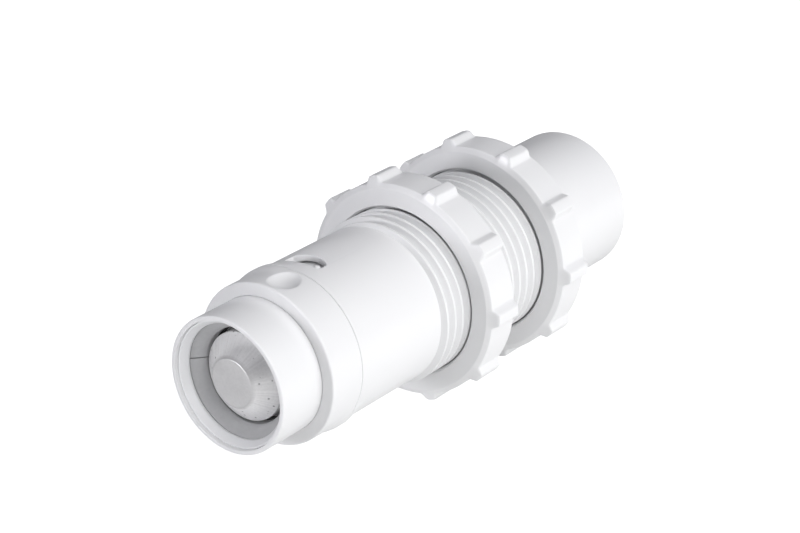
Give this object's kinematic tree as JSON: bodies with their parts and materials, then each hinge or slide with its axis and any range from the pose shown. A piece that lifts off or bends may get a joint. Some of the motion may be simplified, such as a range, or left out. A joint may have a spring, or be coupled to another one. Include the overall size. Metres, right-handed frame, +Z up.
{
  "type": "check valve",
  "caption": "White in-line check valve with a sprung metal poppet, twist collar, bulkhead thread, locknuts and plain spigots at both ends.",
  "frame": {"origin": "centre of the open inlet rim, on the valve's axis", "axes": "+Y along the axis from inlet to outlet (flow direction), +Z up as it lies, +X to the right seen from the inlet"},
  "size_m": [0.0458, 0.1063, 0.0438],
  "materials": {
    "white_plastic": "gloss moulded white",
    "liner_plastic": "pale grey moulded liner",
    "grey_plastic": "mid grey acetal",
    "bush_plastic": "waxy off-white bearing plastic",
    "black_rubber": "black elastomer",
    "steel": "stainless steel",
    "cast_metal": "as-machined light alloy, slightly pitted"
  },
  "bodies": {
    "body": {"valve_body": "white_plastic", "nose_tube": "white_plastic", "seat_carrier": "liner_plastic", "seat_ring": "grey_plastic", "seat_seal": "black_rubber", "stem_guide": "grey_plastic", "stem_bush": "bush_plastic", "guide_circlip": "steel", "spring_cup": "steel", "cartridge_oring_front": "black_rubber", "cartridge_oring_rear": "black_rubber", "return_spring": "steel"},
    "collar": {"bayonet_collar": "white_plastic", "collar_oring": "black_rubber", "latch_pin_top": "white_plastic", "latch_pin_bottom": "white_plastic"},
    "poppet": {"poppet_head": "cast_metal", "poppet_stem": "cast_metal", "stem_clip": "steel"},
    "front_nut": {"front_locknut": "white_plastic"},
    "rear_nut": {"rear_locknut": "white_plastic"}
  },
  "joints": [
    {"name": "poppet_slide", "type": "slide", "parent": "body", "child": "poppet", "axis": [0, 1, 0], "range_m": [0, 0.008], "stiffness_N_per_m": 600, "springref_m": -0.0083, "deforming": ["return_spring"]},
    {"name": "collar_twist", "type": "hinge", "parent": "body", "child": "collar", "pos_m": [0, 0.0146, 0], "axis": [0, 1, 0], "range_deg": [-21, 0]},
    {"name": "front_nut_spin", "type": "hinge", "parent": "body", "child": "front_nut", "pos_m": [0, 0.0533, 0], "axis": [0, 1, 0], "continuous": true},
    {"name": "rear_nut_spin", "type": "hinge", "parent": "body", "child": "rear_nut", "pos_m": [0, 0.0769, 0], "axis": [0, 1, 0], "continuous": true}
  ]
}
